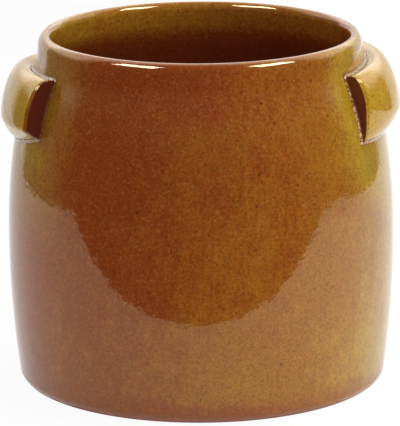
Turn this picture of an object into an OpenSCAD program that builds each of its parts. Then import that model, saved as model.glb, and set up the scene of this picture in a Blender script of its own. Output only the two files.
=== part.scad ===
// Glazed stoneware flower pot with two luted ear lugs.
// The pot stands on z = 0 with its axis on Z. +X runs through the right ear and -Y is the front.
// Heights are above the ground and radii are from the pot's axis.

/* [Pot] */
// Height from the ground to the crest of the lip
pot_h = 274; // [240:1:320]
// Widest diameter, at the belly
belly_d = 300; // [280:1:330]
// Height of the widest point
belly_z = 115; // [90:1:135]
// Diameter of the neck where the shoulder curve ends
neck_d = 252; // [225:0.2:265]
// Height of the crest above the top of the shoulder curve
neck_drop = 18; // [15:1:26]
// Share of the rise from belly to neck over which the shoulder still leaves upright
shoulder_full = 0.72; // [0.6:0.01:0.8]
// Share of that rise over which the neck straightens
neck_soft = 0.1; // [0.03:0.01:0.15]
// Thickness of the wall
wall_t = 10.6; // [7:0.1:13]

/* [Lip] */
// How far the short neck draws in on each side on its way up to the lip
neck_lean = 0.8; // [0:0.1:3]
// Height of the rounded lip's outer curve
lip_h = 9.5; // [6:0.5:14]
// Width of the soft curve on the inner side of the crest
lip_inner = 4.4; // [2:0.1:6]
// Height of that inner curve
lip_inner_h = 6.5; // [3:0.5:9]

/* [Foot] */
// Diameter of the wall just above the rounded bottom edge
heel_d = 286; // [262:1:292]
// Height of the rounded bottom edge
heel_h = 10; // [6:0.5:14]
// Outer diameter of the flat foot ring
foot_d = 262; // [236:1:272]
// Width of the flat foot ring
foot_ring_w = 13; // [8:0.5:22]
// Depth of the hollow turned under the floor
foot_hollow = 4; // [2:0.5:7]
// Thickness of the floor over that hollow
floor_t = 12; // [8:0.5:18]
// Radius of the inner corner between floor and wall
floor_corner_r = 26; // [12:1:40]

/* [Ears] */
// Height of an ear's seat on the wall
ear_h = 51; // [40:1:60]
// Angle from the middle of an ear to its cut end, in degrees
ear_half_angle = 30.5; // [18:0.5:38]
// Height of an ear's fullest point above its lower seam
ear_full_z = 16.5; // [14:0.5:25]
// Share of the height over that point where the ear's face still stands upright
ear_face = 0.5; // [0.4:0.01:0.8]
// Share of the ear's overhang over which its top runs out before it turns down
ear_top_run = 0.54; // [0.5:0.01:0.8]
// Lift of the ear's top off the wall over that run
ear_top_lift = 16; // [8:0.5:18]
// How far the underside of the ear runs out before it turns up
ear_under_run = 5.5; // [3:0.5:8]
// Rise of the underside over that run
ear_under_rise = 3.5; // [1:0.5:6]
// Share of the height below the fullest point at which the underside has turned upright
ear_under_full = 0.88; // [0.4:0.01:0.92]

/* [Left ear] */
// Height of the left ear's upper seam below the crest, at the ear's middle
left_drop = 28; // [24:1:44]
// Angle of the left ear's seams in degrees, positive where the front end is higher
left_seam_angle = 2.4; // [-8:0.1:8]
// Distance that the swollen middle of the left ear stands off the wall
left_reach = 14.3; // [9:0.1:22]
// Distance that the left ear stands off the wall at its cut ends
left_end_reach = 14.6; // [6:0.1:18]
// Height of the fullest point above the lower seam at the left ear's cut ends
left_end_full_z = 6.5; // [4:0.5:20]
// How far the lower seam rises towards the left ear's cut ends
left_end_rise = 8.5; // [0:0.5:10]
// Width of the rounding at the left ear's cut ends
left_edge = 3; // [2:0.1:9]
// Share of its reach that the left ear loses in that rounding
left_edge_pinch = 0.08; // [0.05:0.01:0.5]

/* [Right ear] */
// Height of the right ear's upper seam below the crest, at the ear's middle
right_drop = 22; // [22:1:44]
// Angle of the right ear's seams in degrees, positive where the front end is higher
right_seam_angle = -1; // [-8:0.1:8]
// Distance that the swollen middle of the right ear stands off the wall
right_reach = 15.9; // [9:0.1:22]
// Distance that the right ear stands off the wall at its cut ends
right_end_reach = 11; // [3:0.1:18]
// Height of the fullest point above the lower seam at the right ear's cut ends
right_end_full_z = 24; // [6:0.5:26]
// How far the lower seam rises towards the right ear's cut ends
right_end_rise = 3.5; // [0:0.5:10]
// Width of the rounding at the right ear's cut ends
right_edge = 3; // [2:0.1:9]
// Share of its reach that the right ear loses in that rounding
right_edge_pinch = 0.1; // [0.05:0.01:0.5]

/* [Luting] */
// Thickness of the slip bed between an ear and the wall
slip_t = 1; // [0.6:0.1:1.6]
// Height of the bead of slip that squeezes out round an ear
bead_h = 2.4; // [1.8:0.1:4]
// Width of that bead on the wall
bead_w = 3.2; // [2:0.1:6]
// Clearance between the wall, the slip bed and the ear
seat_gap = 0.06; // [0.04:0.01:0.15]

/* [Hidden] */

glaze_colour = [0.55, 0.29, 0.12];
ear_colour = [0.62, 0.46, 0.15];
slip_colour = [0.78, 0.62, 0.38];

// Steps from heel to belly; the shoulder has twice as many. Facets round the pot
curve_steps = 16;
round_fn = 180;
// Steps along an ear, round its outer curve and up its seat
along_steps = 30;
edge_steps = 6;
outer_steps = 16;
seat_steps = 12;
bead_steps = 3;

// Power by which an ear swells from its ends to its middle, and the shares of the underside's
// rise and of the top's lift that are left at the ends
swell_power = 2.2;
end_under_share = 0.2;
end_top_share = 0.5;
// Thinnest that an ear may get between its seams, and a bead of slip at its edge
ear_skin = 1.2;
bead_skin = 0.12;

// Where the wall's curves join
neck_z = pot_h - neck_drop;
shoulder_rise = neck_z - belly_z;
soft_rise = neck_soft * shoulder_rise;
lip_d = neck_d - 2 * neck_lean;
lip_z = pot_h - lip_h;
neck_slope = neck_lean / max(lip_z - neck_z, 4);
crest_r = lip_d / 2 - wall_t + lip_inner;
foot_r = foot_d / 2;
floor_z = foot_hollow + floor_t;

// Cubic curve through the first and last of four points, drawn towards the middle two
function cubic(p, t) = pow(1 - t, 3) * p[0] + 3 * t * pow(1 - t, 2) * p[1]
    + 3 * t * t * (1 - t) * p[2] + pow(t, 3) * p[3];

// The shoulder leaves the belly upright, turns in and ends at the slope of the neck
shoulder = [[belly_d / 2, belly_z], [belly_d / 2, belly_z + shoulder_full * shoulder_rise],
    [neck_d / 2 + soft_rise * neck_slope, neck_z - soft_rise], [neck_d / 2, neck_z]];

// Below the belly the wall draws in with the square of the distance from it
function lower_r(z) = belly_d / 2
    - (belly_d - heel_d) / 2 * pow((belly_z - z) / (belly_z - heel_h), 2);

// The outer wall from the heel up to the lip, as [radius, height] from bottom to top, in n steps to
// the belly, twice as many to the neck and one more to the lip
function wall_curve(n) = concat(
    [for (i = [0 : n - 1]) let (z = heel_h + (belly_z - heel_h) * i / n) [lower_r(z), z]],
    [for (i = [0 : 2 * n]) cubic(shoulder, i / (2 * n))], [[lip_d / 2, lip_z]]);
wall_line = wall_curve(curve_steps);

// Radius of the outer wall at height z, read off finer steps than the wall is turned in
wall_rs = [for (p = wall_curve(4 * curve_steps)) [p[1], p[0]]];
function wall_r(z) = lookup(z, wall_rs);

// Quarter of an ellipse from angle a to b about a centre, with half widths w and h
function arc_points(centre, w, h, a, b, n) = [for (i = [0 : n]) let (t = a + (b - a) * i / n)
    centre + [w * cos(t), h * sin(t)]];

heel = arc_points([foot_r, heel_h], heel_d / 2 - foot_r, heel_h, -90, 0, 8);
lip_outer = arc_points([crest_r, lip_z], lip_d / 2 - crest_r, lip_h, 0, 90, 12);
lip_inside = arc_points([crest_r, pot_h - lip_inner_h], lip_inner, lip_inner_h, 90, 180, 8);

// The inner wall keeps the wall's thickness down to the rounded corner of the floor. It turns at
// the outer wall's heights, so its steps run beside the outer ones
corner_top = floor_z + floor_corner_r;
inner_corner_r = wall_r(corner_top) - wall_t;
inner_wall = concat([for (i = [len(wall_line) - 1 : -1 : 0]) let (p = wall_line[i])
    if (p[1] > corner_top + 1 && p[1] <= neck_z) [p[0] - wall_t, p[1]]],
    [[inner_corner_r, corner_top]]);
corner = arc_points([inner_corner_r - floor_corner_r, corner_top], floor_corner_r, floor_corner_r,
    0, -90, 10);
hollow_r = foot_r - foot_ring_w;

// Everything but the end that is dropped where two curves share a point
function tail(list) = [for (i = [1 : len(list) - 1]) list[i]];

pot_outline = concat([[foot_r - foot_ring_w, 0]], heel, tail(wall_line), tail(lip_outer),
    tail(lip_inside), inner_wall, tail(corner), [[0, floor_z]],
    [[0, foot_hollow], [hollow_r - foot_hollow, foot_hollow]]);

// An ear is described by one list: direction of its middle, upper seam height, seam slope, reach,
// end reach, end fullest height, end rise, edge width and edge pinch
left_ear_sizes = [180, pot_h - left_drop, left_seam_angle, left_reach, left_end_reach, left_end_full_z,
    left_end_rise, left_edge, left_edge_pinch];
right_ear_sizes = [0, pot_h - right_drop, right_seam_angle, right_reach, right_end_reach,
    right_end_full_z, right_end_rise, right_edge, right_edge_pinch];

// Value at s along an ear that swells from its ends to its middle, where s runs from -1 at the
// rear end to 1 at the front end
function swell(at_end, at_middle, s) = at_end
    + (at_middle - at_end) * (1 - pow(min(abs(s), 1), swell_power));

// Length of half an ear along the wall
half_length = belly_d / 2 * ear_half_angle * PI / 180;

// Upper and lower seams of an ear at s
function top_seam(e, s) = e[1] + s * half_length * tan(e[2]);
function low_seam(e, s) = top_seam(e, s) - ear_h + swell(e[6], 0, s);

// Share of its reach that an ear keeps at s: it falls off as a quarter circle over the edge
function edge_keep(e, s) = let (from_end = (1 - abs(s)) * half_length, q = max(0, 1 - from_end / e[7]))
    1 - e[8] * (1 - sqrt(max(0, 1 - q * q)));

// Radius that an ear is seated on at height z
function seat_r(z) = wall_r(z) + slip_t + 2 * seat_gap;

// Two cubic curves make the free side of an ear's section at s: the first runs from the lower
// seam to the fullest point, the second from there to the upper seam, and both are upright where
// they meet
function ear_curves(e, s) = let (
    z0 = low_seam(e, s), z1 = top_seam(e, s), zf = z0 + swell(e[5], ear_full_z, s),
    rf = wall_r(zf) + swell(e[4], e[3], s), r0 = seat_r(z0), r1 = seat_r(z1))
    [[[r0, z0], [min(r0 + ear_under_run, rf), z0 + swell(end_under_share, 1, s) * ear_under_rise],
        [rf, z0 + ear_under_full * (zf - z0)], [rf, zf]],
    [[rf, zf], [rf, zf + (z1 - zf) * ear_face],
        [r1 + ear_top_run * (rf - r1), z1 + swell(end_top_share, 1, s) * ear_top_lift], [r1, z1]]];

// Section of an ear at s, counter-clockwise from its lower seam and back down its seat
function ear_section(e, s) = let (
    curves = ear_curves(e, s), keep = edge_keep(e, s),
    free = concat([for (i = [0 : outer_steps]) cubic(curves[0], i / outer_steps)],
        [for (i = [1 : outer_steps]) cubic(curves[1], i / outer_steps)]),
    last = len(free) - 1, z0 = free[0][1], z1 = free[last][1])
    concat([for (i = [0 : last]) let (p = free[i], r = seat_r(p[1]))
            [r + max(p[0] - r, ear_skin * sin(180 * i / last)) * keep, p[1]]],
        [for (i = [1 : seat_steps - 1]) let (z = z1 + (z0 - z1) * i / seat_steps) [seat_r(z), z]]);

// Stations along an ear, closer together in the rounding of the two ends
function stations(e) = let (edge = e[7] / half_length) concat(
    [for (i = [0 : edge_steps - 1]) -1 + edge * (1 - cos(90 * i / edge_steps))],
    [for (i = [0 : along_steps]) (1 - edge) * (2 * i / along_steps - 1)],
    [for (i = [1 : edge_steps]) 1 - edge * (1 - cos(90 * (edge_steps - i) / edge_steps))]);

// Place a [radius, height] point at s along an ear: the front end lies towards -Y on both ears
function around(e, s, p) = let (a = e[0] == 0 ? -s * ear_half_angle : e[0] + s * ear_half_angle)
    [p[0] * cos(a), p[0] * sin(a), p[1]];

// Solid through a row of sections, each a list of points with the same count, closed at both ends
module loft(rows, flip) {
    n = len(rows[0]);
    m = len(rows);
    points = [for (row = rows) each row];
    sides = [for (j = [0 : m - 2]) for (i = [0 : n - 1]) let (
        a = j * n + i, b = j * n + (i + 1) % n, c = (j + 1) * n + (i + 1) % n, d = (j + 1) * n + i)
        each [[a, d, b], [b, d, c]]];
    first = [for (i = [0 : n - 1]) i];
    last = [for (i = [n - 1 : -1 : 0]) (m - 1) * n + i];
    faces = concat(sides, [first, last]);
    polyhedron(points, flip ? [for (f = faces) [for (i = [len(f) - 1 : -1 : 0]) f[i]]] : faces,
        convexity = 6);
}

module ear(e) {
    loft([for (s = stations(e)) [for (p = ear_section(e, s)) around(e, s, p)]], e[0] != 0);
}

// Share of the bead's height at t, from 1 against the ear to 0 out on the wall: a hollow fillet
function bead_share(t) = pow(1 - t, 1.7);

// Slope of a curve where it leaves its seam, as rise over run
function leave_slope(a, b) = (b[1] - a[1]) / max(b[0] - a[0], bead_skin);

// Section of the slip at s. It is slip_t thick under the ear, and a bead of the given height
// stands round it. The bead's face follows the ear's first slope away from the seam, a
// clearance clear of it. The section runs up the free side and down the wall.
function bed_section(e, s, height, seated) = let (
    curves = ear_curves(e, s), z0 = low_seam(e, s) - seat_gap, z1 = top_seam(e, s) + seat_gap,
    low = leave_slope(curves[0][0], curves[0][1]), high = leave_slope(curves[1][3], curves[1][2]),
    low_bead = [for (i = [bead_steps : -1 : 0]) let (t = i / bead_steps,
        h = max(bead_skin, height * bead_share(t))) [h, z0 - bead_w * t + low * max(0, h - slip_t)]],
    high_bead = [for (i = [0 : bead_steps]) let (t = i / bead_steps,
        h = max(bead_skin, height * bead_share(t))) [h, z1 + bead_w * t + high * max(0, h - slip_t)]],
    bed = [for (i = [0 : seat_steps]) [seated ? slip_t : height, z0 + (z1 - z0) * i / seat_steps]],
    za = low_bead[0][1], zb = high_bead[bead_steps][1])
    concat([for (p = concat(low_bead, seated ? bed : between(bed, low_bead, high_bead), high_bead))
            [wall_r(p[1]) + seat_gap + p[0], p[1]]],
        [for (i = [0 : seat_steps]) let (z = zb + (za - zb) * i / seat_steps) [wall_r(z) + seat_gap, z]]);

// The bed's points spread between the tops of the two beads, past the ear's cut ends
function between(bed, low_bead, high_bead) = let (
    a = low_bead[bead_steps][1], b = high_bead[0][1], n = len(bed) + 1)
    [for (i = [1 : len(bed)]) [bed[i - 1][0], a + (b - a) * i / n]];

module luting(e) {
    gap = seat_gap / half_length;
    width = bead_w / half_length;
    outside = [for (i = [0 : bead_steps]) let (t = i / bead_steps)
        [1 + 2 * gap + width * t, max(bead_skin, bead_h * bead_share(t))]];
    inside = [for (i = [0 : along_steps]) (1 + gap) * (2 * i / along_steps - 1)];
    rows = concat(
        [for (i = [bead_steps : -1 : 0]) [-outside[i][0], outside[i][1], false]],
        [for (s = inside) [s, bead_h, true]],
        [for (q = outside) [q[0], q[1], false]]);
    loft([for (q = rows) [for (p = bed_section(e, q[0], q[1], q[2])) around(e, q[0], p)]], e[0] != 0);
}

module pot_body() {
    color(glaze_colour) rotate_extrude($fn = round_fn) polygon(pot_outline);
}

module left_ear() {
    color(ear_colour) ear(left_ear_sizes);
}

module right_ear() {
    color(ear_colour) ear(right_ear_sizes);
}

module left_ear_luting() {
    color(slip_colour) luting(left_ear_sizes);
}

module right_ear_luting() {
    color(slip_colour) luting(right_ear_sizes);
}

pot_body();
left_ear();
right_ear();
left_ear_luting();
right_ear_luting();
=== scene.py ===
"""A glazed stoneware flower pot with two ear lugs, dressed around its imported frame.

Everything is in the frame's own axes. The pot stands on z = 0 with its axis on Z, +X runs through
the right ear and -Y is the front, where the camera stands. The pot's shapes follow the same curves
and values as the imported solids, in finer steps. They are worked out in millimetres and made in
metres. The studio is in metres.
"""

import logging
import math
from dataclasses import dataclass
from enum import Enum

import bpy
import numpy as np
from mathutils import Matrix, Vector


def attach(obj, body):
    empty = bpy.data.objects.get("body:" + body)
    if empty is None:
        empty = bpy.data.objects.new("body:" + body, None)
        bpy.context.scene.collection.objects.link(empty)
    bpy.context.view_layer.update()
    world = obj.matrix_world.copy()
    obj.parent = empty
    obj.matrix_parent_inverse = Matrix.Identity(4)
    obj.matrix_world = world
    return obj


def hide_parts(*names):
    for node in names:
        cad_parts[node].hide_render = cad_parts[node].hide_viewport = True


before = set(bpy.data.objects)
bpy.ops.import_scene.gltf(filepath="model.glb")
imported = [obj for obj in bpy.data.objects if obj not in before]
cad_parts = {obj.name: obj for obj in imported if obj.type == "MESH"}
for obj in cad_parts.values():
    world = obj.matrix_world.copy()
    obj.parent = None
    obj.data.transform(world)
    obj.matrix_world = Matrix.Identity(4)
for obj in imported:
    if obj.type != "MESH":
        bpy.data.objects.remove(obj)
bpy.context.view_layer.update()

log = logging.getLogger("flower_pot")
MM = 0.001
WHITE = (1.0, 1.0, 1.0, 1.0)
Colour = tuple[float, float, float]
Place = tuple[float, float, float]
Span = tuple[float, float]
Socket = bpy.types.NodeSocket


# Meshes


def smoothstep(low: float, high: float, x: np.ndarray) -> np.ndarray:
    """Eases from 0 at low to 1 at high: 3 t^2 - 2 t^3 of the clamped share t.

    Args:
        low: Value where the result is 0.
        high: Value where the result is 1.
        x: Values to ease.

    Returns:
        Shares from 0 to 1, in the shape of x.
    """
    t = np.clip((x - low) / (high - low), 0.0, 1.0)
    return t * t * (3.0 - 2.0 * t)


def cubic(points: np.ndarray, steps: int) -> np.ndarray:
    """Cubic curve from the first of four points to the last, drawn towards the middle two.

    Args:
        points: Array (..., 4, 2) of [radius, height] points.
        steps: Number of steps along the curve.

    Returns:
        Array (..., steps + 1, 2).
    """
    t = np.linspace(0.0, 1.0, steps + 1)[:, None]
    weights = ((1 - t) ** 3, 3 * t * (1 - t) ** 2, 3 * t * t * (1 - t), t**3)
    return sum(w * points[..., None, i, :] for i, w in enumerate(weights))


def arc(centre: Span, wide: float, high: float, start: float, end: float, steps: int) -> np.ndarray:
    """Part of an ellipse about a centre, from one angle to another, as [radius, height] points.

    Args:
        centre: Radius and height of the ellipse's centre.
        wide: Half of its width.
        high: Half of its height.
        start: First angle in degrees.
        end: Last angle in degrees.
        steps: Number of steps between them.

    Returns:
        Array (steps + 1, 2).
    """
    a = np.radians(np.linspace(start, end, steps + 1))
    return np.stack([centre[0] + wide * np.cos(a), centre[1] + high * np.sin(a)], axis=-1)


def level(start: float, end: float, z: float, steps: int) -> np.ndarray:
    """Points in even steps from one radius to another at one height, as [radius, height]."""
    return np.stack([np.linspace(start, end, steps + 1), np.full(steps + 1, z)], axis=-1)


def add_mesh(name: str, points: np.ndarray, faces: np.ndarray, sharp_angle: float) -> bpy.types.Object:
    """Makes an object of the given points and four-cornered faces, smooth but for its sharp edges.

    Args:
        name: Name of the object and its mesh.
        points: Array (count, 3) in metres.
        faces: Array (count, 4) of point numbers. A triangle repeats its last number.
        sharp_angle: Edges that turn by more than this many degrees stay sharp.

    Returns:
        The new object, at the origin.
    """
    mesh = bpy.data.meshes.new(name)
    three = faces[:, 2] == faces[:, 3]
    sizes = np.where(three, 3, 4)
    keep = np.ones(faces.shape, bool)
    keep[three, 3] = False
    loops = faces[keep]
    mesh.vertices.add(len(points))
    mesh.vertices.foreach_set("co", points.astype(np.float32).ravel())
    mesh.loops.add(len(loops))
    mesh.loops.foreach_set("vertex_index", loops.astype(np.int32))
    mesh.polygons.add(len(faces))
    mesh.polygons.foreach_set("loop_start", np.concatenate([[0], np.cumsum(sizes)[:-1]]).astype(np.int32))
    mesh.update(calc_edges=True)
    mesh.validate()
    mesh.shade_smooth()
    mesh.set_sharp_from_angle(angle=math.radians(sharp_angle))
    piece = bpy.data.objects.new(name, mesh)
    bpy.context.scene.collection.objects.link(piece)
    return piece


def add_value(piece: bpy.types.Object, name: str, values: np.ndarray) -> None:
    """Stores one number for each point of a piece, as an attribute for its material to read."""
    layer = piece.data.attributes.new(name, "FLOAT", "POINT")
    layer.data.foreach_set("value", values.astype(np.float32).ravel())


def band_faces(rows: int, columns: int, flip: bool) -> np.ndarray:
    """Faces between neighbouring rows of a grid whose rows are closed rings.

    Args:
        rows: Number of rings.
        columns: Number of points in a ring.
        flip: Whether the faces turn the other way.

    Returns:
        Array (faces, 4) of point numbers.
    """
    j, i = np.meshgrid(np.arange(rows - 1), np.arange(columns), indexing="ij")
    k = (i + 1) % columns
    quad = np.stack([j * columns + i, (j + 1) * columns + i, (j + 1) * columns + k, j * columns + k], axis=-1)
    quad = quad.reshape(-1, 4)
    return quad[:, ::-1] if flip else quad


def fan_faces(ring: np.ndarray, tip: int, flip: bool) -> np.ndarray:
    """Triangles from a ring of points to one tip, as four-cornered faces with a repeated corner.

    Args:
        ring: Point numbers round the ring.
        tip: Number of the point in the middle.
        flip: Whether the faces turn the other way.

    Returns:
        Array (faces, 4) of point numbers.
    """
    a, b = (np.roll(ring, -1), ring) if flip else (ring, np.roll(ring, -1))
    middle = np.full(len(ring), tip)
    return np.stack([a, b, middle, middle], axis=-1)


def closed_loft(rings: np.ndarray, flip: bool) -> tuple[np.ndarray, np.ndarray]:
    """Joins neighbouring rings, and closes the first and the last with a fan to the ring's middle.

    Args:
        rings: Array (rows, columns, 3).
        flip: Whether the faces turn the other way.

    Returns:
        The points (rows * columns + 2, 3), whose last two are the middles, and the faces.
    """
    rows, columns = rings.shape[:2]
    ring = np.arange(columns)
    points = np.concatenate([rings.reshape(-1, 3), rings[[0, -1]].mean(axis=1)])
    faces = np.concatenate([
        band_faces(rows, columns, flip),
        fan_faces(ring, rows * columns, flip),
        fan_faces(ring + (rows - 1) * columns, rows * columns + 1, not flip),
    ])
    return points, faces


# Shape of the pot

SHOULDER_TO_WALL = 2
NECK_STEPS = 6
LOOKUP_STEPS = 64


@dataclass(frozen=True)
class PotSizes:
    """Sizes of the pot in millimetres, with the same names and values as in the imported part."""

    pot_h: float = 274.0
    belly_d: float = 300.0
    belly_z: float = 115.0
    neck_d: float = 252.0
    neck_drop: float = 18.0
    shoulder_full: float = 0.72
    neck_soft: float = 0.1
    wall_t: float = 10.6
    neck_lean: float = 0.8
    lip_h: float = 9.5
    lip_inner: float = 4.4
    lip_inner_h: float = 6.5
    heel_d: float = 286.0
    heel_h: float = 10.0
    foot_d: float = 262.0
    foot_ring_w: float = 13.0
    foot_hollow: float = 4.0
    floor_t: float = 12.0
    floor_corner_r: float = 26.0
    ear_h: float = 51.0
    ear_half_angle: float = 30.5
    ear_full_z: float = 16.5
    ear_face: float = 0.5
    ear_top_run: float = 0.54
    ear_top_lift: float = 16.0
    ear_under_run: float = 5.5
    ear_under_rise: float = 3.5
    ear_under_full: float = 0.88
    slip_t: float = 1.0
    bead_h: float = 2.4
    bead_w: float = 3.2
    seat_gap: float = 0.06

    @property
    def neck_z(self) -> float:
        """Height of the top of the shoulder curve."""
        return self.pot_h - self.neck_drop

    @property
    def half_length(self) -> float:
        """Length of half an ear along the wall."""
        return math.radians(self.belly_d / 2 * self.ear_half_angle)

    def wall_line(self, steps: int) -> np.ndarray:
        """The outer wall from the heel to the lip.

        Below the belly the radius draws in with the square of the distance from it. Above, a cubic
        curve leaves the belly upright, turns in and ends at the slope of the short neck, which runs
        straight up to the lip.

        Args:
            steps: Steps from heel to belly. The shoulder has SHOULDER_TO_WALL times as many.

        Returns:
            Array (points, 2) of [radius, height], from bottom to top.
        """
        z = np.linspace(self.heel_h, self.belly_z, steps, endpoint=False)
        share = (self.belly_z - z) / (self.belly_z - self.heel_h)
        lower = np.stack([self.belly_d / 2 - (self.belly_d - self.heel_d) / 2 * share**2, z], axis=-1)
        rise = self.neck_z - self.belly_z
        neck_h = self.pot_h - self.lip_h - self.neck_z
        soft = self.neck_soft * rise
        shoulder = cubic(np.array([
            [self.belly_d / 2, self.belly_z],
            [self.belly_d / 2, self.belly_z + self.shoulder_full * rise],
            [self.neck_d / 2 + soft * self.neck_lean / neck_h, self.neck_z - soft],
            [self.neck_d / 2, self.neck_z],
        ]), SHOULDER_TO_WALL * steps)
        t = np.linspace(0.0, 1.0, NECK_STEPS + 1)[1:]
        side = np.stack([self.neck_d / 2 - self.neck_lean * t, self.neck_z + neck_h * t], axis=-1)
        return np.concatenate([lower, shoulder, side])

    def wall_r(self, z: np.ndarray) -> np.ndarray:
        """Radius of the outer wall at each height, read off its line."""
        line = self.wall_line(LOOKUP_STEPS)
        return np.interp(z, line[:, 1], line[:, 0])

    def seat_r(self, z: np.ndarray) -> np.ndarray:
        """Radius that an ear is seated on at each height."""
        return self.wall_r(z) + self.slip_t + 2 * self.seat_gap


class Side(Enum):
    """The side of the pot that an ear is on, as the sign of its X."""

    LEFT = -1
    RIGHT = 1


@dataclass(frozen=True)
class EarSizes:
    """Sizes of one ear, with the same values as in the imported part.

    Lengths are in millimetres and the seam's angle is in degrees, up towards the front. The drop is
    how far the middle of the upper seam lies below the lip's top. The pinch is the share of its
    reach that the ear loses in the rounded edge of a cut end.
    """

    side: Side
    drop: float
    seam_angle: float
    reach: float
    end_reach: float
    end_full_z: float
    end_rise: float
    edge: float
    edge_pinch: float


LEFT_EAR = EarSizes(
    side=Side.LEFT, drop=28.0, seam_angle=2.4, reach=14.3, end_reach=14.6, end_full_z=6.5, end_rise=8.5,
    edge=3.0, edge_pinch=0.08,
)
RIGHT_EAR = EarSizes(
    side=Side.RIGHT, drop=22.0, seam_angle=-1.0, reach=15.9, end_reach=11.0, end_full_z=24.0, end_rise=3.5,
    edge=3.0, edge_pinch=0.1,
)


@dataclass
class PotBody:
    """The thrown pot: wall, rounded lip, rounded heel, foot ring and floor, turned as one surface.

    The outline is a line from near the middle of the underside, round the wall, to near the middle
    of the floor. The surface is that line turned about Z, and a fan closes each middle.
    """

    sizes: PotSizes
    ears: tuple[EarSizes, ...]
    around: int = 256
    wall_steps: int = 46
    underside_r: float = 6.0
    floor_r: float = 4.0
    foot_edge: float = 0.6
    slope_limit: float = 60.0

    def outline(self) -> np.ndarray:
        """Points of the section from the underside's middle to the floor's middle.

        The last number of a flat or rounded part is its steps.

        Returns:
            Array (points, 2) of [radius, height] in mm.
        """
        s = self.sizes
        foot_r, lip_r = s.foot_d / 2, s.neck_d / 2 - s.neck_lean
        crest_r = lip_r - s.wall_t + s.lip_inner
        hollow_r, floor_z = foot_r - s.foot_ring_w, s.foot_hollow + s.floor_t
        corner_z = floor_z + s.floor_corner_r
        wall = s.wall_line(self.wall_steps)
        inner = wall[(wall[:, 1] > corner_z + 1) & (wall[:, 1] <= s.neck_z)][::-1] - [s.wall_t, 0.0]
        corner_r = float(s.wall_r(corner_z)) - s.wall_t - s.floor_corner_r
        edge = self.foot_edge
        parts = [
            level(self.underside_r, hollow_r - s.foot_hollow, s.foot_hollow, 13),
            arc((hollow_r - s.foot_hollow, 0.0), s.foot_hollow, s.foot_hollow, 90, 8, 6)[1:],
            arc((hollow_r + edge, edge), edge, edge, 180, 270, 3),
            arc((foot_r, s.heel_h), s.heel_d / 2 - foot_r, s.heel_h, -90, 0, 16),
            wall[1:],
            arc((crest_r, s.pot_h - s.lip_h), lip_r - crest_r, s.lip_h, 0, 90, 24)[1:],
            arc((crest_r, s.pot_h - s.lip_inner_h), s.lip_inner, s.lip_inner_h, 90, 180, 14)[1:],
            inner,
            arc((corner_r, corner_z), s.floor_corner_r, s.floor_corner_r, 0, -90, 16),
            level(corner_r, self.floor_r, floor_z, 17)[1:],
        ]
        return np.concatenate(parts)

    def inside(self, points: np.ndarray) -> np.ndarray:
        """Whether each point, in mm, lies on the pot's inner surface."""
        s = self.sizes
        x, y, z = points.T
        return (np.hypot(x, y) < s.wall_r(z) - s.wall_t / 2) & (z > s.foot_hollow + 1)

    def breaking(self, points: np.ndarray) -> np.ndarray:
        """How far the glaze breaks from red-brown, 0, through amber to olive yellow, 1.

        It rises towards +X, at both sides, and low on the wall, and falls at the heel and under the
        rim at the front. Close round each ear it rises again by a bell curve of the distance from
        the ear's seat. Inside, it is highest in the neck at the left, and falls to nothing under
        the shoulder.

        Args:
            points: Array (count, 3) in mm.

        Returns:
            Array of count shares.
        """
        s = self.sizes
        x, y, z = points.T
        sway = x / np.maximum(np.hypot(x, y), 1.0)
        at_side = np.where(sway < 0, 0.18 + 0.42 * smoothstep(90.0, 190.0, z), 0.2)
        low_wall = (0.16 + 0.08 * sway) * smoothstep(130.0, 30.0, z)
        at_heel = -0.38 * smoothstep(26.0, 6.0, z)
        under_rim = -0.14 * smoothstep(226.0, 262.0, z) * np.exp(-((sway / 0.6) ** 2))
        share = 0.2 + 0.3 * sway + at_side * smoothstep(0.55, 1.0, np.abs(sway))
        share = share + low_wall + at_heel + under_rim
        for ear in self.ears:
            side = ear.side.value
            strength, width = 0.45 + 0.15 * side, 29.0 - 5.0 * side
            along = np.arctan2(-y, side * x) * s.belly_d / 2
            sloped = np.clip(along, -self.slope_limit, self.slope_limit)
            top = s.pot_h - ear.drop + sloped * math.tan(math.radians(ear.seam_angle))
            out = np.maximum(np.abs(along) - s.half_length, 0.0)
            over, under = np.maximum(z - top, 0.0), np.maximum(top - s.ear_h - z, 0.0)
            gap = np.hypot(out, over + 0.75 * under)
            share = share + strength * np.exp(-((gap / width) ** 2))
        in_neck = (0.5 - 0.25 * sway) * smoothstep(s.neck_z - 16.0, s.neck_z + 4.0, z)
        return np.clip(np.where(self.inside(points), in_neck, share), 0.0, 1.0)

    def pooled_and_shade(self, points: np.ndarray) -> np.ndarray:
        """How dark the glaze is made inside the pot, under the neck: partly glaze gathered there, partly
        painted shade.
        """
        neck_z = self.sizes.neck_z
        return np.where(self.inside(points), 0.5 * smoothstep(neck_z + 4.0, neck_z - 24.0, points[:, 2]), 0.0)

    def build(self) -> bpy.types.Object:
        """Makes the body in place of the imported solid.

        Returns:
            The piece pot_body_glazed.
        """
        r, z = self.outline()[:, :, None].transpose(1, 0, 2)
        turn = np.linspace(0.0, 2 * np.pi, self.around, endpoint=False)
        rings = np.stack([r * np.cos(turn), r * np.sin(turn), np.repeat(z, self.around, axis=1)], axis=-1)
        points, faces = closed_loft(rings, flip=True)
        piece = add_mesh("pot_body_glazed", points * MM, faces, sharp_angle=50.0)
        add_value(piece, "breaking", self.breaking(points))
        add_value(piece, "pooled_and_shade", self.pooled_and_shade(points))
        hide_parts("pot_body")
        return piece


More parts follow.
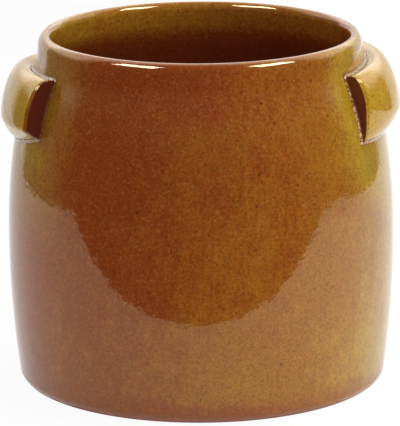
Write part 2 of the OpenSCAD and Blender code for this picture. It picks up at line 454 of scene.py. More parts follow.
@dataclass
class EarLug:
    """One ear: a swelling loft along the wall with a rounded, slightly hollow cut end.

    At s along the ear, from -1 at the rear end to 1 at the front end, the section is two cubic
    curves from the lower seam to the fullest point and on to the upper seam, and the seat follows
    the wall back down. A size swells from its end value to its middle value by 1 - |s|^2.2.
    """

    sizes: PotSizes
    own: EarSizes
    along: int = 120
    outer: int = 40
    seat: int = 30
    edge_rows: int = 14
    round_rows: int = 4
    end_rows: int = 10
    dark_round_rows: int = 2
    end_hollow: float = 0.7
    end_round: float = 1.7
    swell_power: float = 2.2
    skin: float = 1.2

    @property
    def name(self) -> str:
        """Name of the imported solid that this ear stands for."""
        return f"{self.own.side.name.lower()}_ear"

    @property
    def flip(self) -> bool:
        """Whether faces of rows from the rear to the front must be turned to point outwards."""
        return self.own.side is Side.RIGHT

    def swell(self, at_end: float, at_middle: float, s: np.ndarray) -> np.ndarray:
        """Value at s that swells from the ends to the middle: end + (middle - end)(1 - |s|^power)."""
        return at_end + (at_middle - at_end) * (1 - np.minimum(np.abs(s), 1.0) ** self.swell_power)

    def seams(self, s: np.ndarray) -> tuple[np.ndarray, np.ndarray]:
        """Heights of the lower and upper seam at s."""
        p = self.sizes
        top = p.pot_h - self.own.drop + s * p.half_length * math.tan(math.radians(self.own.seam_angle))
        return top - p.ear_h + self.swell(self.own.end_rise, 0.0, s), top

    def curves(self, s: np.ndarray) -> np.ndarray:
        """The four points of each of the two cubic curves of the free side.

        Args:
            s: Stations along the ear.

        Returns:
            Array (stations, 2, 4, 2) of [radius, height].
        """
        p = self.sizes
        z0, z1 = self.seams(s)
        zf = z0 + self.swell(self.own.end_full_z, p.ear_full_z, s)
        rf = p.wall_r(zf) + self.swell(self.own.end_reach, self.own.reach, s)
        r0, r1 = p.seat_r(z0), p.seat_r(z1)
        under = np.minimum(r0 + p.ear_under_run, rf), z0 + self.swell(0.2, 1.0, s) * p.ear_under_rise
        over = r1 + p.ear_top_run * (rf - r1), z1 + self.swell(0.5, 1.0, s) * p.ear_top_lift
        rows = [
            [(r0, z0), under, (rf, z0 + p.ear_under_full * (zf - z0)), (rf, zf)],
            [(rf, zf), (rf, zf + (z1 - zf) * p.ear_face), over, (r1, z1)],
        ]
        return np.array(rows).transpose(3, 0, 1, 2)

    def sections(self, s: np.ndarray) -> np.ndarray:
        """Closed sections at stations s, from the lower seam over the free side and down the seat.

        Args:
            s: Stations along the ear.

        Returns:
            Array (stations, points, 2) of [radius, height] in mm.
        """
        p = self.sizes
        both = cubic(self.curves(s), self.outer)
        free = np.concatenate([both[:, 0], both[:, 1, 1:]], axis=1)
        q = np.clip(1 - (1 - np.abs(s)) * p.half_length / self.own.edge, 0.0, 1.0)
        keep = 1 - self.own.edge_pinch * (1 - np.sqrt(1 - q * q))
        seat_r = p.seat_r(free[..., 1])
        least = self.skin * np.sin(np.linspace(0.0, np.pi, free.shape[1]))
        free[..., 0] = seat_r + np.maximum(free[..., 0] - seat_r, least) * keep[:, None]
        t = np.linspace(0.0, 1.0, self.seat + 1)[1:-1]
        z = free[:, -1, 1][:, None] + (free[:, 0, 1] - free[:, -1, 1])[:, None] * t
        return np.concatenate([free, np.stack([p.seat_r(z), z], axis=-1)], axis=1)

    def stations(self) -> np.ndarray:
        """Stations along the ear, closer together in the rounding of the two ends."""
        edge = self.own.edge / self.sizes.half_length
        near = edge * (1 - np.cos(np.linspace(0.0, np.pi / 2, self.edge_rows, endpoint=False)))
        middle = np.linspace(edge - 1, 1 - edge, self.along + 1)
        return np.concatenate([near - 1, middle, 1 - near[::-1]])

    def end_cap(self, ring: np.ndarray, s: float) -> tuple[np.ndarray, np.ndarray]:
        """Rings that close a cut end: a small rounding, then a face that is slightly hollow.

        The rounding draws the free side in by a quarter circle while it runs to the end's plane.
        The rings then shrink to the middle, and sink by the hollow times 1 - share^2.

        Args:
            ring: Last section, (points, 2).
            s: Its station, -1 or 1.

        Returns:
            The rings (rings, points, 2), and the station of each ring.
        """
        p = self.sizes
        count = 2 * self.outer + 1
        step = np.roll(ring, -1, axis=0) - np.roll(ring, 1, axis=0)
        inward = np.stack([-step[:, 1], step[:, 0]], axis=-1)
        inward /= np.maximum(np.linalg.norm(inward, axis=1, keepdims=True), 1e-9)
        weight = np.zeros(len(ring))
        weight[:count] = np.sin(np.linspace(0.0, np.pi, count)) ** 0.5
        turn = np.linspace(0.0, np.pi / 2, self.round_rows + 1)[1:]
        drawn = [ring + inward * (weight * self.end_round * (1 - math.cos(a)))[:, None] for a in turn]
        last = drawn[-1]
        middle = last.mean(axis=0)
        share = np.linspace(1.0, 0.0, self.end_rows, endpoint=False)[1:]
        shrunk = [middle + (last - middle) * t for t in share]
        rise = self.end_round * np.sin(turn)
        sink = self.end_round - self.end_hollow * (1 - share**2)
        off = np.concatenate([rise, sink]) / p.half_length
        return np.stack(drawn + shrunk), s * (1 - self.end_round / p.half_length + off)

    def place(self, s: np.ndarray, section: np.ndarray) -> np.ndarray:
        """Turns [radius, height] points at stations s into the pot's frame.

        Args:
            s: Array (stations,).
            section: Array (stations, points, 2).

        Returns:
            Array (stations, points, 3) in mm.
        """
        half = math.radians(self.sizes.ear_half_angle)
        angle = (-s * half if self.own.side is Side.RIGHT else math.pi + s * half)[:, None]
        r = section[..., 0]
        return np.stack([r * np.cos(angle), r * np.sin(angle), section[..., 1]], axis=-1)

    def build(self) -> bpy.types.Object:
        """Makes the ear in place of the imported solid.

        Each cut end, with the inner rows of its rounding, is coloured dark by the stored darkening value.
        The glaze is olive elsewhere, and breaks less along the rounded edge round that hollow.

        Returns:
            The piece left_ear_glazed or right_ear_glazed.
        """
        s = self.stations()
        body = self.sections(s)
        rear, rear_s = self.end_cap(body[0], -1.0)
        front, front_s = self.end_cap(body[-1], 1.0)
        short = 1 - self.end_round / self.sizes.half_length
        at = np.concatenate([rear_s[::-1], s * short, front_s])
        rings = self.place(at, np.concatenate([rear[::-1], body, front]))
        rows, columns = rings.shape[:2]
        points, faces = closed_loft(rings, self.flip)
        piece = add_mesh(f"{self.name}_glazed", points * MM, faces, sharp_angle=60.0)
        dark = self.end_rows - 1 + self.dark_round_rows
        pooled_and_shade = np.zeros((rows, columns))
        pooled_and_shade[:dark] = pooled_and_shade[-dark:] = 1.0
        add_value(piece, "pooled_and_shade", np.append(pooled_and_shade.ravel(), [1.0, 1.0]))
        side = self.own.side.value
        from_end = (1 - np.abs(at)) * self.sizes.half_length
        at_edge = (0.5 - 0.2 * side) * smoothstep(3.6, 1.4, from_end)
        breaking = 1.1 + 0.1 * side - at_edge
        add_value(piece, "breaking", np.append(np.repeat(breaking, columns), [0.4, 0.4]))
        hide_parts(self.name)
        return piece


@dataclass(frozen=True)
class SlipLook:
    """How dark a luting's glaze is, how much painted joint shadow its ends get, and how much pale unglazed
    slip and painted highlight their outer rim shows.
    """

    dark: float
    end_painted_shadow: float
    bare_and_painted_light: float


SLIP_LOOKS = {Side.LEFT: SlipLook(0.45, 0.5, 0.08), Side.RIGHT: SlipLook(0.2, 0.6, 0.7)}


@dataclass
class Luting:
    """The slip that joins an ear to the wall: a thin bed, and a bead squeezed out round it.

    The bead is a hollow fillet, (1 - t)^1.7 of its height at share t of its width. Its height
    varies along the joint by a sum of sine waves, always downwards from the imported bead's. Each
    sine has a weight, a length in mm and a phase.
    """

    ear: EarLug
    bead_steps: int = 8
    along: int = 220
    seat: int = 60
    skin: float = 0.12
    fillet_power: float = 1.7
    wave_depth: float = 0.5
    sines: tuple[tuple[float, float, float], ...] = ((1.0, 1.9, 0.7), (0.8, 0.83, 2.1), (0.9, 4.7, 4.0))
    upper_shift: float = 400.0
    end_shift: float = 900.0

    def waves(self, along: np.ndarray) -> np.ndarray:
        """Share of the bead's height that is left at each distance in mm along the joint."""
        whole = sum(weight for weight, _, _ in self.sines)
        w = sum(weight * np.sin(along / length + phase) for weight, length, phase in self.sines)
        return 1 - self.wave_depth * (0.5 + w / (2 * whole))

    def rows(self) -> tuple[np.ndarray, np.ndarray, np.ndarray]:
        """Stations of the rows, the height of the slip at each, and whether the ear sits on it."""
        p = self.ear.sizes
        t = np.linspace(0.0, 1.0, self.bead_steps + 1)
        gap, width = p.seat_gap / p.half_length, p.bead_w / p.half_length
        outside = 1 + 2 * gap + width * t
        height = np.maximum(self.skin, p.bead_h * (1 - t) ** self.fillet_power)
        inside = (1 + gap) * np.linspace(-1.0, 1.0, self.along + 1)
        s = np.concatenate([-outside[::-1], inside, outside])
        tall = np.concatenate([height[::-1], np.full(len(inside), p.bead_h), height])
        seated = np.concatenate([np.zeros(len(t), bool), np.ones(len(inside), bool), np.zeros(len(t), bool)])
        return s, tall, seated

    def slopes(self, s: np.ndarray) -> tuple[np.ndarray, np.ndarray]:
        """Rise over run of the ear's surface where it leaves the lower and the upper seam at s."""
        curves = self.ear.curves(s)
        pairs = (curves[:, 0, 0], curves[:, 0, 1]), (curves[:, 1, 3], curves[:, 1, 2])
        low, high = ((b[:, 1] - a[:, 1]) / np.maximum(b[:, 0] - a[:, 0], self.skin) for a, b in pairs)
        return low, high

    def sections(self) -> tuple[np.ndarray, np.ndarray]:
        """Closed sections of the slip at its rows.

        Returns:
            The stations, and the sections (rows, points, 2) in mm.
        """
        p = self.ear.sizes
        s, tall, seated = self.rows()
        z0, z1 = self.ear.seams(s)
        z0, z1 = z0 - p.seat_gap, z1 + p.seat_gap
        t = np.linspace(0.0, 1.0, self.bead_steps + 1)

        def lift(at: np.ndarray) -> np.ndarray:
            """Height of a bead over the wall, no lower than the bed beside the ear."""
            left = tall[:, None] * self.waves(at)[:, None]
            whole = np.where(seated[:, None], np.maximum(left, p.slip_t), tall[:, None])
            return np.maximum(self.skin, whole * (1 - t) ** self.fillet_power)

        along = s * p.half_length
        h0, h1 = lift(along)[:, ::-1], lift(along + self.upper_shift)
        low, high = self.slopes(s)
        zb0 = z0[:, None] - p.bead_w * t[::-1] + low[:, None] * np.maximum(0, h0 - p.slip_t)
        zb1 = z1[:, None] + p.bead_w * t + high[:, None] * np.maximum(0, h1 - p.slip_t)
        share_up = np.linspace(0.0, 1.0, self.seat + 3)[1:-1]
        bed_z = np.where(
            seated[:, None],
            z0[:, None] + (z1 - z0)[:, None] * np.linspace(0.0, 1.0, self.seat + 1),
            zb0[:, -1:] + (zb1[:, :1] - zb0[:, -1:]) * share_up,
        )
        end_wave = self.waves(bed_z + self.end_shift * np.sign(s)[:, None])
        rim = np.maximum(self.skin, tall[:, None] * np.where(tall[:, None] > 0.5, end_wave, 1.0))
        bed_h = np.where(seated[:, None], p.slip_t, rim)
        z = np.concatenate([zb0, bed_z, zb1], axis=1)
        h = np.concatenate([h0, bed_h, h1], axis=1)
        back_z = zb1[:, -1:] + (zb0[:, :1] - zb1[:, -1:]) * np.linspace(0.0, 1.0, self.seat + 1)
        front = np.stack([p.wall_r(z) + p.seat_gap + h, z], axis=-1)
        back = np.stack([p.wall_r(back_z) + p.seat_gap, back_z], axis=-1)
        return s, np.concatenate([front, back], axis=1)

    def build(self) -> bpy.types.Object:
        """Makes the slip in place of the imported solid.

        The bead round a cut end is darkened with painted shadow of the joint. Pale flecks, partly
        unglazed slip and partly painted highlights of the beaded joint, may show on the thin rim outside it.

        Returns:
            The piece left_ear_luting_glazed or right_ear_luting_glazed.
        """
        s, section = self.sections()
        rings = self.ear.place(s, section)
        points, faces = closed_loft(rings, self.ear.flip)
        piece = add_mesh(f"{self.ear.name}_luting_glazed", points * MM, faces, sharp_angle=60.0)
        columns = rings.shape[1]
        past = np.append(np.repeat(np.abs(s), columns), np.abs(s[[0, -1]]))
        end, rim = smoothstep(0.985, 1.005, past), smoothstep(1.010, 1.020, past)
        look = SLIP_LOOKS[self.ear.own.side]
        add_value(piece, "breaking", 0.75 - 0.2 * end)
        # Round a cut end the bead's inner half gets painted joint shadow, and its outer rim pale flecks that
        # stand in partly for highlights.
        add_value(piece, "pooled_and_shade", look.dark + look.end_painted_shadow * end * (1 - rim))
        add_value(piece, "bare_and_painted_light", look.bare_and_painted_light * rim)
        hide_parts(f"{self.ear.name}_luting")
        return piece


# Finishes


def rgba(colour: Colour) -> tuple[float, float, float, float]:
    """A colour with full opacity."""
    return (*colour, 1.0)


class NodeWeb:
    """The nodes of a material or world, with short calls that add a node and link its inputs."""

    def __init__(self, owner: bpy.types.Material | bpy.types.World) -> None:
        """Takes the material or world that the nodes belong to, and clears its nodes."""
        self.owner = owner
        owner.use_nodes = True
        self.tree = owner.node_tree
        self.tree.nodes.clear()

    def add(self, kind: str, ins: dict | None = None, **settings: object) -> bpy.types.Node:
        """Adds a node.

        Args:
            kind: Node type without its ShaderNode prefix.
            ins: Value or output socket for each input, by name or number.
            **settings: Properties of the node.

        Returns:
            The node.
        """
        node = self.tree.nodes.new("ShaderNode" + kind)
        for key, value in settings.items():
            setattr(node, key, value)
        for key, value in (ins or {}).items():
            if isinstance(value, Socket):
                self.tree.links.new(value, node.inputs[key])
            else:
                node.inputs[key].default_value = value
        return node

    def math(self, operation: str, a: object, b: object, c: object = 0.0) -> Socket:
        """Result of a math operation on two or three values or sockets."""
        return self.add("Math", {0: a, 1: b, 2: c}, operation=operation).outputs[0]

    def ramp(self, value: object, low: float, high: float, start: float = 0.0, end: float = 1.0) -> Socket:
        """Value mapped smoothly from low..high to start..end and held there outside."""
        ins = {0: value, 1: low, 2: high, 3: start, 4: end}
        return self.add("MapRange", ins, interpolation_type="SMOOTHSTEP").outputs[0]

    def mix(self, share: object, a: object, b: object, blend: str = "MIX") -> Socket:
        """Colour between a and b by a share, or another blend of the two."""
        return self.add("Mix", {0: share, 6: a, 7: b}, data_type="RGBA", blend_type=blend).outputs[2]

    def noise(self, at: object, scale: float, detail: float = 2.0, rough: float = 0.5) -> Socket:
        """Cloudy noise from 0 to 1 at a place, with scale in waves to the metre."""
        ins = {"Vector": at, "Scale": scale, "Detail": detail, "Roughness": rough}
        return self.add("TexNoise", ins).outputs[0]

    def stored(self, name: str) -> Socket:
        """A number that the mesh stores for each point."""
        return self.add("Attribute", attribute_name=name).outputs["Fac"]

    def blend(self, share: object, a: object, b: object) -> Socket:
        """Surface or background between a and b by a share."""
        return self.add("MixShader", {0: share, 1: a, 2: b}).outputs[0]


# Dark iron brown of the glaze's mottle, also the colour of the painted contact shadow at the foot.
IRON_AND_SHADOW = (0.085, 0.018, 0.004)
THIN_GLAZE = (0.66, 0.36, 0.13)


class Finish(Enum):
    """Surfaces of the pot that a material is made for."""

    BODY = "body_glaze"
    EAR = "ear_glaze"
    LUTING = "luting_glaze"


@dataclass(frozen=True)
class Cloud:
    """Noise that moves the glaze's colour by an amount, with its scale in waves to the metre."""

    scale: float
    detail: float
    rough: float
    amount: float


@dataclass(frozen=True)
class Mottle:
    """Fine noise that lays a colour over the glaze, from nothing at low to its strength at high."""

    scale: float
    low: float
    high: float
    strength: float
    colour: Colour
    shift: Place


@dataclass(frozen=True)
class Specks:
    """Iron specks in a glaze, one to a cell of a cell pattern, in a share of the cells."""

    cells_to_the_metre: float
    radius: float
    share: float
    colour: Colour
    strength: float


@dataclass(frozen=True)
class GlazeFinish:
    """A glossy amber glaze over stoneware, with colours in linear light and lengths in metres.

    A peel wave is a scale in waves to the metre and a weight. The painted contact shadow at the foot fades in
    between two heights.
    """

    name: str
    red: Colour = (0.235, 0.040, 0.005)
    amber: Colour = (0.285, 0.098, 0.008)
    olive: Colour = (0.37, 0.215, 0.012)
    # Dark red-brown of gathered glaze, also used for painted shade.
    pooled_and_shade: Colour = (0.105, 0.016, 0.010)
    # Cream of unglazed slip; on the luting's bead its flecks also stand in for painted highlights.
    clay: Colour = (0.37, 0.15, 0.105)
    slip: Colour = (0.85, 0.62, 0.42)
    tint: Colour = (1.0, 0.8, 0.5)
    gloss_roughness: float = 0.045
    ior: float = 1.68
    cloud: Cloud = Cloud(22.0, 3.0, 0.55, 0.55)
    streak: Cloud = Cloud(190.0, 3.0, 0.6, 0.26)
    patch: Cloud = Cloud(85.0, 3.0, 0.6, 0.22)
    grain: Cloud = Cloud(290.0, 2.0, 0.6, 0.5)
    streak_squash: tuple[float, float, float] = (1.0, 1.0, 0.12)
    mottles: tuple[Mottle, ...] = (
        Mottle(560.0, 0.48, 0.74, 0.2, THIN_GLAZE, (0.0, 0.0, 0.0)),
        Mottle(500.0, 0.46, 0.72, 0.62, IRON_AND_SHADOW, (3.1, 1.7, 0.4)),
    )
    specks: tuple[Specks, ...] = (
        Specks(430.0, 0.26, 0.42, (0.075, 0.022, 0.006), 0.55),
        Specks(250.0, 0.2, 0.34, (0.34, 0.035, 0.008), 0.6),
        Specks(75.0, 0.1, 0.45, (0.05, 0.016, 0.006), 0.75),
    )
    peel: float = 1.6e-5
    peel_waves: tuple[Span, ...] = ((150.0, 7.0), (42.0, 2.2), (400.0, 1.3))
    bare_foot: bool = False
    glaze_line: float = 0.0026
    line_waver: float = 0.0040
    hollow_r: float = 0.1215
    hollow_z: float = 0.0045
    # Heights in metres between which the painted contact shadow at the foot fades in.
    contact_shadow: Span = (0.0022, 0.0006)

    def make(self) -> bpy.types.Material:
        """Builds the finish.

        Returns:
            The material.
        """
        web = NodeWeb(bpy.data.materials.new(self.name))
        place = web.add("TexCoord").outputs["Object"]
        colour = self.overlay(web, place, self.ground(web, place))
        shader = web.add("BsdfPrincipled", {
            "Base Color": colour, "Roughness": self.gloss_roughness, "IOR": self.ior,
            "Specular Tint": rgba(self.tint), "Normal": self.ripple(web, place),
        }).outputs[0]
        if self.bare_foot:
            shader = self.bare_and_painted_light(web, place, shader)
        web.add("OutputMaterial", {"Surface": shader})
        return web.owner

    def ground(self, web: NodeWeb, place: Socket) -> Socket:
        """The glaze's own colour, from red-brown through amber to olive by the breaking value.

        Clouds, patches and grain move that value, and so do streaks, which are noise squashed so
        that it runs down the pot. Patches and streaks also shade the colour a little.

        Args:
            web: Material to add to.
            place: Socket with the place on the object.

        Returns:
            The socket with the colour.
        """
        run = web.add("Mapping", {"Vector": place, "Scale": self.streak_squash}).outputs[0]
        kinds = ((self.cloud, place), (self.streak, run), (self.patch, place), (self.grain, place))
        noises = [web.noise(at, kind.scale, kind.detail, kind.rough) for kind, at in kinds]
        moved = web.stored("breaking")
        for (kind, _), noise in zip(kinds, noises):
            moved = web.math("MULTIPLY_ADD", web.math("SUBTRACT", noise, 0.5), kind.amount, moved)
        colour = web.mix(web.ramp(moved, 0.0, 0.5), rgba(self.red), rgba(self.amber))
        colour = web.mix(web.ramp(moved, 0.45, 1.0), colour, rgba(self.olive))
        _, streak, patch, _ = noises
        shade = web.math("MULTIPLY_ADD", patch, 0.3, web.math("MULTIPLY_ADD", streak, 0.1, 0.8))
        grey = web.add("CombineColor", {0: shade, 1: shade, 2: shade}).outputs[0]
        return web.mix(1.0, colour, grey, "MULTIPLY")

    def overlay(self, web: NodeWeb, place: Socket, colour: Socket) -> Socket:
        """Lays mottling and specks over a colour, then darkens it by the stored darkening value, which is
        partly gathered glaze and partly painted shade.

        Where the mesh's stored flecks value is above 0, pale flecks show through: unglazed slip, and painted
        highlights on the luting's bead.

        Args:
            web: Material to add to.
            place: Socket with the place on the object.
            colour: Socket with the colour underneath.

        Returns:
            The socket with the finished colour.
        """
        for mottle in self.mottles:
            at = web.add("Mapping", {"Vector": place, "Location": mottle.shift}).outputs[0]
            mist = web.noise(at, mottle.scale, 3.0, 0.75)
            share = web.ramp(mist, mottle.low, mottle.high, 0.0, mottle.strength)
            colour = web.mix(share, colour, rgba(mottle.colour))
        for specks in self.specks:
            colour = self.speckle(web, place, colour, specks)
        colour = web.mix(web.stored("pooled_and_shade"), colour, rgba(self.pooled_and_shade))
        # Pale flecks of unglazed slip, partly a painted highlight on the beaded joint round a cut end.
        flecks_and_glints = web.ramp(web.noise(place, 420.0, 3.0, 0.7), 0.47, 0.58)
        return web.mix(web.math("MULTIPLY", flecks_and_glints, web.stored("bare_and_painted_light")), colour, rgba(self.slip))

    def ripple(self, web: NodeWeb, place: Socket) -> Socket:
        """Normal bent by the glaze's soft peel, which is a sum of noises over the given place."""
        height = 0.0
        for scale, amount in self.peel_waves:
            height = web.math("MULTIPLY_ADD", web.noise(place, scale), amount, height)
        return web.add("Bump", {"Strength": 1.0, "Distance": self.peel, "Height": height}).outputs[0]

    def speckle(self, web: NodeWeb, place: Socket, colour: Socket, specks: Specks) -> Socket:
        """Lays one size of specks over a colour. They are 0.5 to 1.2 times their radius in size.

        Args:
            web: Material to add to.
            place: Socket with the place on the object.
            colour: Socket with the colour underneath.
            specks: Size, share and colour of the specks.

        Returns:
            The socket with the speckled colour.
        """
        pattern = {"Vector": place, "Scale": specks.cells_to_the_metre, "Randomness": 1.0}
        cells = web.add("TexVoronoi", pattern).outputs
        pick = web.add("SeparateColor", {0: cells["Color"]}).outputs
        size = web.math("MULTIPLY_ADD", pick[1], specks.radius * 0.7, specks.radius * 0.5)
        spot = web.ramp(web.math("DIVIDE", cells["Distance"], size), 1.0, 0.55, 0.0, specks.strength)
        chosen = web.math("LESS_THAN", pick[0], specks.share)
        return web.mix(web.math("MULTIPLY", spot, chosen), colour, rgba(specks.colour))

    def bare_and_painted_light(self, web: NodeWeb, place: Socket, glaze: Socket) -> Socket:
        """Leaves the clay unglazed under a wavering glaze line at the foot, and darkens it with a painted
        contact shadow where it stands.

        Args:
            web: Material to add to.
            place: Socket with the place on the object.
            glaze: Socket with the glaze's shader.

        Returns:
            The socket with the mixed shader.
        """
        z = web.add("SeparateXYZ", {0: place}).outputs[2]
        line = web.math("MULTIPLY_ADD", web.noise(place, 60.0, 3.0, 0.6), self.line_waver, self.glaze_line)
        below = web.ramp(web.math("SUBTRACT", z, line), 0.0005, -0.0003)
        from_middle = web.add("VectorMath", {0: place}, operation="LENGTH").outputs["Value"]
        near, low = web.math("LESS_THAN", from_middle, self.hollow_r), web.math("LESS_THAN", z, self.hollow_z)
        share = web.math("MAXIMUM", below, web.math("MULTIPLY", near, low))
        grit = web.noise(place, 900.0, 3.0, 0.7)
        dark, light = (rgba(tuple(shade * c for c in self.clay)) for shade in (0.72, 1.2))
        # Towards the ground the clay turns dark: a painted contact shadow.
        tone = web.mix(web.ramp(z, *self.contact_shadow), web.mix(grit, dark, light), rgba(IRON_AND_SHADOW))
        rough = web.add("Bump", {"Strength": 0.6, "Distance": 0.0001, "Height": grit}).outputs[0]
        clay = web.add("BsdfPrincipled", {"Base Color": tone, "Roughness": 0.85, "Normal": rough}).outputs[0]
        return web.blend(share, glaze, clay)


# Studio


@dataclass(frozen=True)
class Softbox:
    """A rectangular lamp aimed at the pot, in metres and watts.

    The glaze mirrors it only if it is reflected. With lights off it is seen in reflections alone.
    """

    name: str
    place: Place
    aim: Place
    width: float
    height: float
    power: float
    reflected: bool = True
    lights: bool = True


@dataclass
class Studio:
    """Camera, white table, soft lamps and a pale surround.

    A row of the table is its left x and y, then its right x and y, and the rows run from the front
    to the back. The spans are the x between which the table's white changes in reflections. A row
    of the sweep is an axis of direction and the two values that the brightness rises between.
    """

    eye: Place = (0.0, -3.003, 0.8897)
    pitch: float = 0.2479
    roll: float = -0.0067
    focal_px: float = 3975.8
    middle_px: Span = (201.3, 213.0)
    picture_px: Span = (400.0, 426.0)
    table_rows: tuple[tuple[float, float, float, float], ...] = (
        (-1.30, -0.30, 1.50, -0.435),
        (-1.29, 0.02, 1.62, -0.12),
        (-0.97, 0.64, 1.02, 0.64),
        (-0.95, 3.2, 0.97, 3.2),
    )
    table_colour: Colour = (0.86, 0.86, 0.86)
    table_white: float = 0.94
    left_fade: Span = (-1.1, -0.25)
    left_white: float = 0.62
    right_rise: Span = (0.03, 0.3)
    right_fall: Span = (0.9, 1.25)
    right_white: float = 1.4
    ambient: float = 0.34
    dim: float = 0.05
    sweep: tuple[tuple[int, float, float], ...] = ((1, 0.67, 0.78), (1, -0.05, 0.25), (2, 0.15, 0.45))
    ceiling: float = 1.9
    lamps: tuple[Softbox, ...] = (
        Softbox("strip_left", (-0.93, -0.67, 1.45), (0.0, 0.0, 0.27), 0.80, 0.46, 28.0, lights=False),
        Softbox("strip_right", (1.02, -0.54, 1.41), (0.0, 0.0, 0.27), 0.70, 0.46, 25.5, lights=False),
        Softbox("overhead", (0.12, 0.18, 1.52), (0.0, 0.0, 0.2), 0.6, 0.5, 12.5, reflected=False),
        Softbox("fill_right", (2.3, -0.9, 0.8), (0.0, 0.0, 0.15), 1.6, 1.6, 37.0, reflected=False),
        Softbox("fill_left", (-2.3, 0.5, 0.8), (0.0, 0.0, 0.15), 1.4, 1.4, 13.5, reflected=False),
        Softbox("fill_front", (0.3, -2.6, 0.7), (0.0, 0.0, 0.15), 1.3, 1.3, 19.0, reflected=False),
    )

    def add_camera(self) -> None:
        """Sets the camera that matches the photograph's view.

        The picture's middle is off the fitted principal point by a pixel or so, and the view is
        turned by that much instead of shifting the lens.
        """
        forward = Vector((0.0, math.cos(self.pitch), -math.sin(self.pitch)))
        right = Vector((1.0, 0.0, 0.0))
        up = right.cross(forward)
        c, s = math.cos(self.roll), math.sin(self.roll)
        right, up = c * right + s * up, c * up - s * right
        off_x = self.picture_px[0] / 2 - self.middle_px[0]
        off_y = self.picture_px[1] / 2 - self.middle_px[1]
        forward = (forward * self.focal_px + right * off_x - up * off_y).normalized()
        right = (right - forward * right.dot(forward)).normalized()
        up = right.cross(forward)
        data = bpy.data.cameras.new("view")
        data.lens = self.focal_px / max(self.picture_px) * data.sensor_width
        data.clip_end = 60.0
        camera = bpy.data.objects.new("view", data)
        turn = Matrix((right, up, -forward)).transposed().to_4x4()
        camera.matrix_world = Matrix.Translation(self.eye) @ turn
        bpy.context.scene.collection.objects.link(camera)
        bpy.context.scene.camera = camera

    def white_table(self) -> bpy.types.Material:
        """A matt pale grey that shows as white to the camera and in reflections.

        In reflections its white fades towards the far left, and is brighter to the right of the pot
        than straight in front of it.

        Returns:
            The material.
        """
        web = NodeWeb(bpy.data.materials.new("white_table"))
        path = web.add("LightPath").outputs
        across = web.add("SeparateXYZ", {0: web.add("TexCoord").outputs["Object"]}).outputs[0]
        near = web.ramp(across, *self.right_rise, 1.0, self.right_white)
        far = web.ramp(across, *self.right_fall, self.right_white, 1.0)
        matt = web.add("BsdfDiffuse", {"Color": rgba(self.table_colour)}).outputs[0]
        white = web.add("Emission", {"Color": WHITE, "Strength": web.math("MINIMUM", near, far)}).outputs[0]
        mirrored = web.math("MAXIMUM", path["Is Glossy Ray"], path["Is Transmission Ray"])
        seen = web.math("MAXIMUM", path["Is Camera Ray"], mirrored)
        faded = web.ramp(across, *self.left_fade, self.table_white * self.left_white, self.table_white)
        direct = web.math("MULTIPLY", path["Is Camera Ray"], self.table_white)
        share = web.math("MULTIPLY", seen, web.math("MAXIMUM", faded, direct))
        web.add("OutputMaterial", {"Surface": web.blend(share, matt, white)})
        return web.owner

    def add_table(self) -> None:
        """Lays the white table, whose near and side edges the glaze reflects."""
        corners = np.array(self.table_rows).reshape(-1, 2)
        points = np.concatenate([corners, np.zeros((len(corners), 1))], axis=1)
        first = 2 * np.arange(len(self.table_rows) - 1)[:, None]
        sheet = add_mesh("table", points, first + np.array([0, 1, 3, 2]), sharp_angle=60.0)
        sheet.data.materials.append(self.white_table())

    def add_lamps(self) -> None:
        """Hangs the soft lamps."""
        for lamp in self.lamps:
            data = bpy.data.lights.new(lamp.name, "AREA")
            data.shape = "RECTANGLE"
            data.size, data.size_y, data.energy = lamp.width, lamp.height, lamp.power
            light = bpy.data.objects.new(lamp.name, data)
            light.location = lamp.place
            light.rotation_euler = (Vector(lamp.aim) - Vector(lamp.place)).to_track_quat("-Z", "Y").to_euler()
            light.visible_camera = False
            light.visible_glossy = lamp.reflected
            light.visible_diffuse = lamp.lights
            bpy.context.scene.collection.objects.link(light)

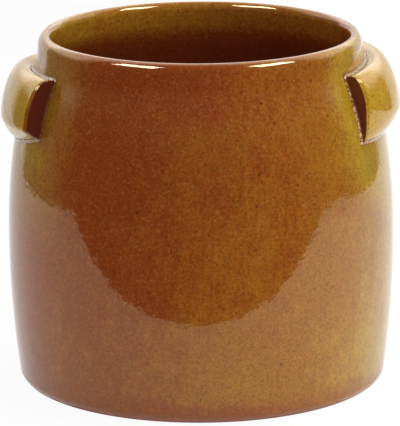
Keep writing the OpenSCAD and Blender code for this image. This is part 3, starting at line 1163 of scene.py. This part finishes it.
    def add_world(self) -> None:
        """Surrounds the pot with white for the camera, and with a white sweep behind it in reflections.

        A ray's direction is its Generated coordinate in the world: y below 0 is the camera's side.
        Reflections find a dim room, a white sweep behind the pot and a brighter ceiling over that.
        Other rays find an even, soft light.
        """
        world = bpy.data.worlds.new("studio")
        bpy.context.scene.world = world
        web = NodeWeb(world)
        way = web.add("SeparateXYZ", {0: web.add("TexCoord").outputs["Generated"]}).outputs
        behind, ahead, above = (
            web.ramp(way[axis], low, high, self.dim, 1.0) for axis, low, high in self.sweep
        )
        mirrored = web.math("MULTIPLY_ADD", web.math("MULTIPLY", ahead, above), self.ceiling, behind)
        soft, room, white = (
            web.add("Background", {"Color": WHITE, "Strength": strength}).outputs[0]
            for strength in (self.ambient, mirrored, 1.0)
        )
        path = web.add("LightPath").outputs
        unseen = web.blend(path["Is Glossy Ray"], soft, room)
        web.add("OutputWorld", {"Surface": web.blend(path["Is Camera Ray"], unseen, white)})

    def build(self) -> None:
        """Makes the camera, table, lamps and surround."""
        self.add_camera()
        self.add_table()
        self.add_lamps()
        self.add_world()
        bpy.context.scene.view_settings.view_transform = "Standard"


def dress(piece: bpy.types.Object, material: bpy.types.Material) -> None:
    """Gives a piece its material and slot, and lets it ride on the pot's one body.

    Args:
        piece: The piece.
        material: Its material.
    """
    piece.data.materials.clear()
    piece.data.materials.append(material)
    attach(piece, "root")


def main() -> None:
    """Builds the studio, the pot, its ears and their lutings, and reports each piece."""
    logging.basicConfig(level=logging.INFO, format="%(name)s: %(message)s")
    Studio().build()
    sizes = PotSizes()
    left, right = EarLug(sizes, LEFT_EAR), EarLug(sizes, RIGHT_EAR)
    body_glaze = GlazeFinish("amber_body_glaze", bare_foot=True).make()
    ear_glaze = GlazeFinish("olive_ear_glaze", olive=(0.44, 0.245, 0.012)).make()
    luting_glaze = GlazeFinish("pale_luting_glaze").make()
    made = [
        (PotBody(sizes, (LEFT_EAR, RIGHT_EAR)).build(), Finish.BODY, body_glaze),
        (left.build(), Finish.EAR, ear_glaze),
        (right.build(), Finish.EAR, ear_glaze),
        (Luting(left).build(), Finish.LUTING, luting_glaze),
        (Luting(right).build(), Finish.LUTING, luting_glaze),
    ]
    for piece, finish, material in made:
        dress(piece, material)
        log.info("%s: %d points, %d faces", piece.name, len(piece.data.vertices), len(piece.data.polygons))


if __name__ == "__main__":
    main()
